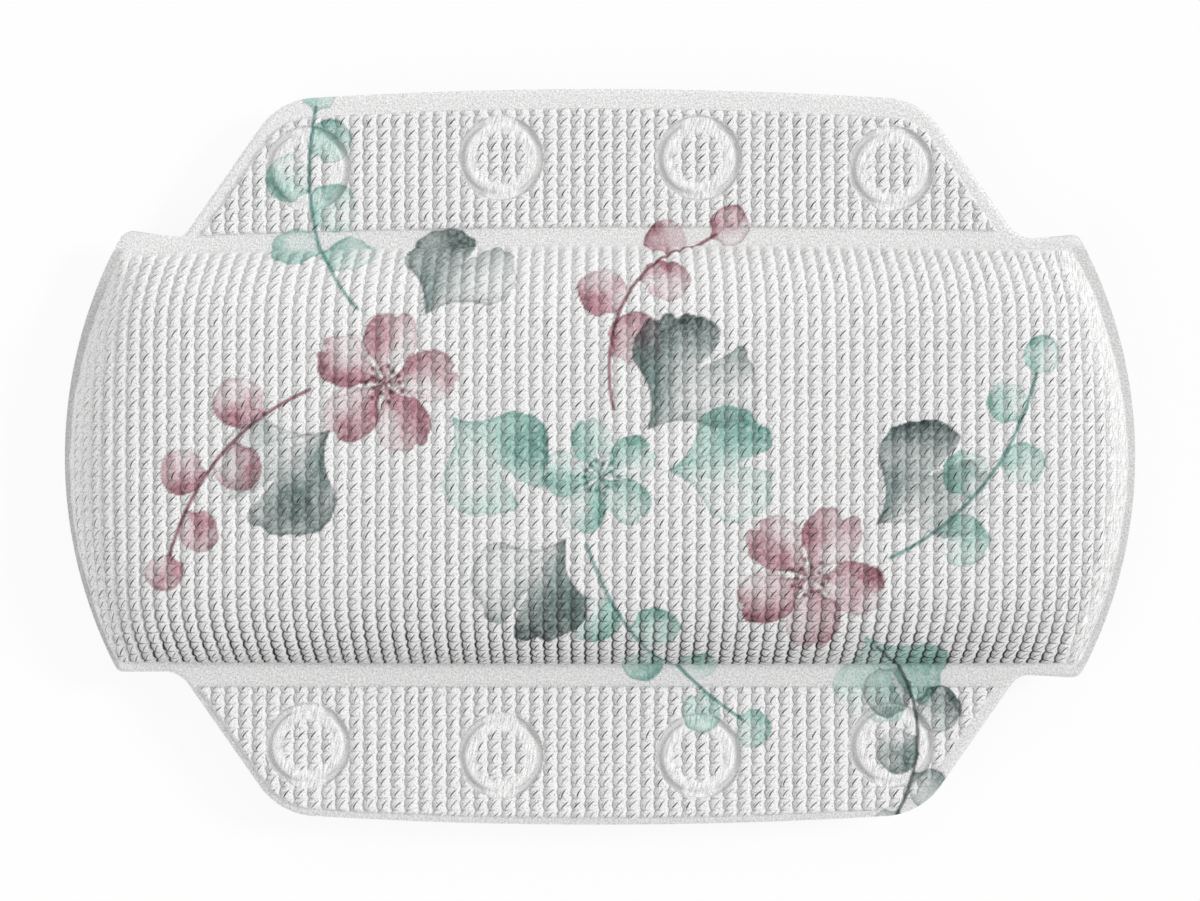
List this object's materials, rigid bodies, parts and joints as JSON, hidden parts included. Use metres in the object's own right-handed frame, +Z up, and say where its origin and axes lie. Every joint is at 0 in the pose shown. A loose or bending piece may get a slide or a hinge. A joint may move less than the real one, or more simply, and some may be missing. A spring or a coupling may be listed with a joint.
{
  "type": "bath pillow",
  "caption": "Padded vinyl bath pillow with a crowned foam cushion between two folding flaps, held to the bath by suction cups on the flaps' backs.",
  "frame": {"origin": "centre of the surface that the pillow lies on, face up: under the middle of its box, level with the suction cups' rims and the flat of the back", "axes": "+X across the pillow's width, +Y towards the top flap, +Z up out of the front face"},
  "size_m": [0.32, 0.22, 0.0312],
  "materials": {
    "front_vinyl": "soft foamed vinyl sheet, embossed with a fine waffle, satin",
    "back_vinyl": "smooth vinyl sheet with a fine grain, satin",
    "foam": "open-cell polyurethane foam, sealed inside the cover",
    "clear_vinyl": "soft clear vinyl moulding, glossy"
  },
  "bodies": {
    "cushion": {"cushion_front_cover": "front_vinyl", "cushion_back_cover": "back_vinyl", "foam_core": "foam"},
    "top_flap": {"top_flap_front_sheet": "front_vinyl", "top_flap_back_sheet": "back_vinyl", "top_suction_cup_1": "clear_vinyl", "top_suction_cup_2": "clear_vinyl", "top_suction_cup_3": "clear_vinyl", "top_suction_cup_4": "clear_vinyl"},
    "bottom_flap": {"bottom_flap_front_sheet": "front_vinyl", "bottom_flap_back_sheet": "back_vinyl", "bottom_suction_cup_1": "clear_vinyl", "bottom_suction_cup_2": "clear_vinyl", "bottom_suction_cup_3": "clear_vinyl", "bottom_suction_cup_4": "clear_vinyl"}
  },
  "joints": [
    {"name": "top_flap_fold", "type": "hinge", "parent": "cushion", "child": "top_flap", "pos_m": [0, 0.0676, 0.0112], "axis": [1, 0, 0], "range_deg": [-90, 45], "stiffness_Nm_per_rad": 0.2},
    {"name": "bottom_flap_fold", "type": "hinge", "parent": "cushion", "child": "bottom_flap", "pos_m": [0, -0.0676, 0.0112], "axis": [-1, 0, 0], "range_deg": [-90, 45], "stiffness_Nm_per_rad": 0.2}
  ]
}
